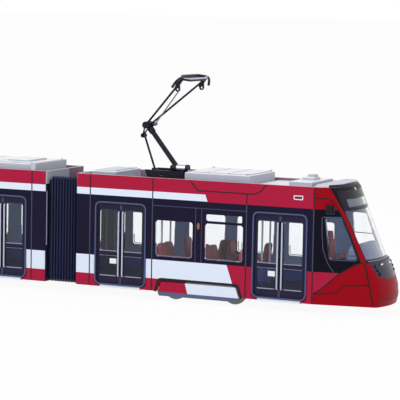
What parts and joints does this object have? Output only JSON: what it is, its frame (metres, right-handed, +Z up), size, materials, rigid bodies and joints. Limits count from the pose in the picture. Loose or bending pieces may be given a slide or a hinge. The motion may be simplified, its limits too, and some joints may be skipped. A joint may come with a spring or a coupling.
{
  "type": "articulated tram railway model, H0 scale",
  "caption": "Scale model of a low-floor articulated tram in hinged sections, each on its own bogie, with bellows, side doors, glazed saloon and a raised single-arm pantograph.",
  "frame": {"origin": "under the middle of the tram, level with the tips of the wheel flanges", "axes": "+X towards the front cab, +Y to the left side, +Z up"},
  "size_m": [0.4186, 0.0284, 0.0718],
  "materials": {
    "body_shell": "satin two-colour printed plastic",
    "roof_grey": "matt moulded plastic",
    "glazing": "clear polystyrene panes",
    "door_frames": "satin printed plastic",
    "chassis": "matt moulded plastic",
    "interior": "moulded seats and housings",
    "covers": "satin printed plastic",
    "bogie_frames": "matt moulded plastic",
    "wheels": "turned steel",
    "windscreen": "tinted clear plastic",
    "lamp_panel": "gloss black plastic",
    "cab_fittings": "matt moulded plastic",
    "camera_pods": "matt black plastic",
    "bellows": "matt folded rubber",
    "pantograph": "black painted metal"
  },
  "bodies": {
    "car_1": {"shell_1": "body_shell", "roof_1": "roof_grey", "glazing_1": "glazing", "doors_1": "door_frames", "floor_1": "chassis", "interior_1": "interior", "bogie_covers_1": "covers", "windscreen_front": "windscreen", "lamp_panel_front": "lamp_panel", "cab_fittings_front": "cab_fittings", "camera_pods": "camera_pods", "panto_base": "pantograph"},
    "car_2": {"shell_2": "body_shell", "roof_2": "roof_grey", "glazing_2": "glazing", "doors_2": "door_frames", "floor_2": "chassis", "interior_2": "interior", "bogie_covers_2": "covers", "bellows_1": "bellows"},
    "car_3": {"shell_3": "body_shell", "roof_3": "roof_grey", "glazing_3": "glazing", "doors_3": "door_frames", "floor_3": "chassis", "interior_3": "interior", "bogie_covers_3": "covers", "bellows_2": "bellows"},
    "car_4": {"shell_4": "body_shell", "roof_4": "roof_grey", "glazing_4": "glazing", "doors_4": "door_frames", "floor_4": "chassis", "interior_4": "interior", "bogie_covers_4": "covers", "windscreen_rear": "windscreen", "lamp_panel_rear": "lamp_panel", "cab_fittings_rear": "cab_fittings", "bellows_3": "bellows"},
    "bogie_1": {"bogie_1": "bogie_frames"},
    "wheelset_1_front": {"wheelset_1_front": "wheels"},
    "wheelset_1_rear": {"wheelset_1_rear": "wheels"},
    "bogie_2": {"bogie_2": "bogie_frames"},
    "wheelset_2_front": {"wheelset_2_front": "wheels"},
    "wheelset_2_rear": {"wheelset_2_rear": "wheels"},
    "bogie_3": {"bogie_3": "bogie_frames"},
    "wheelset_3_front": {"wheelset_3_front": "wheels"},
    "wheelset_3_rear": {"wheelset_3_rear": "wheels"},
    "bogie_4": {"bogie_4": "bogie_frames"},
    "wheelset_4_front": {"wheelset_4_front": "wheels"},
    "wheelset_4_rear": {"wheelset_4_rear": "wheels"},
    "panto_lower_arm": {"panto_lower_arm": "pantograph"},
    "panto_upper_arm": {"panto_upper_arm": "pantograph"},
    "panto_head": {"panto_head": "pantograph"},
    "panto_lower_rod": {"panto_lower_rod": "pantograph"},
    "panto_guide_rod": {"panto_guide_rod": "pantograph"}
  },
  "joints": [
    {"name": "articulation_1", "type": "hinge", "parent": "car_2", "child": "car_1", "pos_m": [0.099, 0, 0.0057], "axis": [0, 0, -1], "range_deg": [-18, 18], "deforming": ["bellows_1"]},
    {"name": "articulation_2", "type": "hinge", "parent": "car_2", "child": "car_3", "pos_m": [0, 0, 0.0057], "axis": [0, 0, 1], "range_deg": [-18, 18], "deforming": ["bellows_2"]},
    {"name": "articulation_3", "type": "hinge", "parent": "car_3", "child": "car_4", "pos_m": [-0.099, 0, 0.0057], "axis": [0, 0, 1], "range_deg": [-18, 18], "deforming": ["bellows_3"]},
    {"name": "bogie_1_swivel", "type": "hinge", "parent": "car_1", "child": "bogie_1", "pos_m": [0.1485, 0, 0.0055], "axis": [0, 0, 1], "range_deg": [-4, 4]},
    {"name": "wheelset_1_front_spin", "type": "hinge", "parent": "bogie_1", "child": "wheelset_1_front", "pos_m": [0.15885, 0, 0.00435], "axis": [0, 1, 0], "continuous": true},
    {"name": "wheelset_1_rear_spin", "type": "hinge", "parent": "bogie_1", "child": "wheelset_1_rear", "pos_m": [0.13815, 0, 0.00435], "axis": [0, 1, 0], "continuous": true},
    {"name": "bogie_2_swivel", "type": "hinge", "parent": "car_2", "child": "bogie_2", "pos_m": [0.0495, 0, 0.0055], "axis": [0, 0, 1], "range_deg": [-4, 4]},
    {"name": "wheelset_2_front_spin", "type": "hinge", "parent": "bogie_2", "child": "wheelset_2_front", "pos_m": [0.05985, 0, 0.00435], "axis": [0, 1, 0], "continuous": true},
    {"name": "wheelset_2_rear_spin", "type": "hinge", "parent": "bogie_2", "child": "wheelset_2_rear", "pos_m": [0.03915, 0, 0.00435], "axis": [0, 1, 0], "continuous": true},
    {"name": "bogie_3_swivel", "type": "hinge", "parent": "car_3", "child": "bogie_3", "pos_m": [-0.0495, 0, 0.0055], "axis": [0, 0, 1], "range_deg": [-4, 4]},
    {"name": "wheelset_3_front_spin", "type": "hinge", "parent": "bogie_3", "child": "wheelset_3_front", "pos_m": [-0.03915, 0, 0.00435], "axis": [0, 1, 0], "continuous": true},
    {"name": "wheelset_3_rear_spin", "type": "hinge", "parent": "bogie_3", "child": "wheelset_3_rear", "pos_m": [-0.05985, 0, 0.00435], "axis": [0, 1, 0], "continuous": true},
    {"name": "bogie_4_swivel", "type": "hinge", "parent": "car_4", "child": "bogie_4", "pos_m": [-0.1485, 0, 0.0055], "axis": [0, 0, 1], "range_deg": [-4, 4]},
    {"name": "wheelset_4_front_spin", "type": "hinge", "parent": "bogie_4", "child": "wheelset_4_front", "pos_m": [-0.13815, 0, 0.00435], "axis": [0, 1, 0], "continuous": true},
    {"name": "wheelset_4_rear_spin", "type": "hinge", "parent": "bogie_4", "child": "wheelset_4_rear", "pos_m": [-0.15885, 0, 0.00435], "axis": [0, 1, 0], "continuous": true},
    {"name": "panto_lower_arm_hinge", "type": "hinge", "parent": "car_1", "child": "panto_lower_arm", "pos_m": [0.1347, 0, 0.0413], "axis": [0, -1, 0], "range_deg": [-6, 42]},
    {"name": "panto_upper_arm_hinge", "type": "hinge", "parent": "panto_lower_arm", "child": "panto_upper_arm", "pos_m": [0.1236, 0, 0.055], "axis": [0, -1, 0], "range_deg": [-80, 15]},
    {"name": "panto_head_hinge", "type": "hinge", "parent": "panto_upper_arm", "child": "panto_head", "pos_m": [0.1382, 0, 0.0688], "axis": [0, -1, 0], "range_deg": [-10, 40]},
    {"name": "panto_lower_rod_hinge", "type": "hinge", "parent": "car_1", "child": "panto_lower_rod", "pos_m": [0.1259, 0.00115, 0.0404], "axis": [0, -1, 0], "range_deg": [-15, 70]},
    {"name": "panto_guide_rod_hinge", "type": "hinge", "parent": "panto_lower_arm", "child": "panto_guide_rod", "pos_m": [0.1265, -0.0006, 0.0554], "axis": [0, -1, 0], "range_deg": [-90, 15]}
  ],
  "couplings": [
    {"joint": "panto_upper_arm_hinge", "follows": "panto_lower_arm_hinge", "ratio": -1.8},
    {"joint": "panto_head_hinge", "follows": "panto_lower_arm_hinge", "ratio": 0.8},
    {"joint": "panto_lower_rod_hinge", "follows": "panto_lower_arm_hinge", "ratio": 1.55},
    {"joint": "panto_guide_rod_hinge", "follows": "panto_lower_arm_hinge", "ratio": -2}
  ]
}
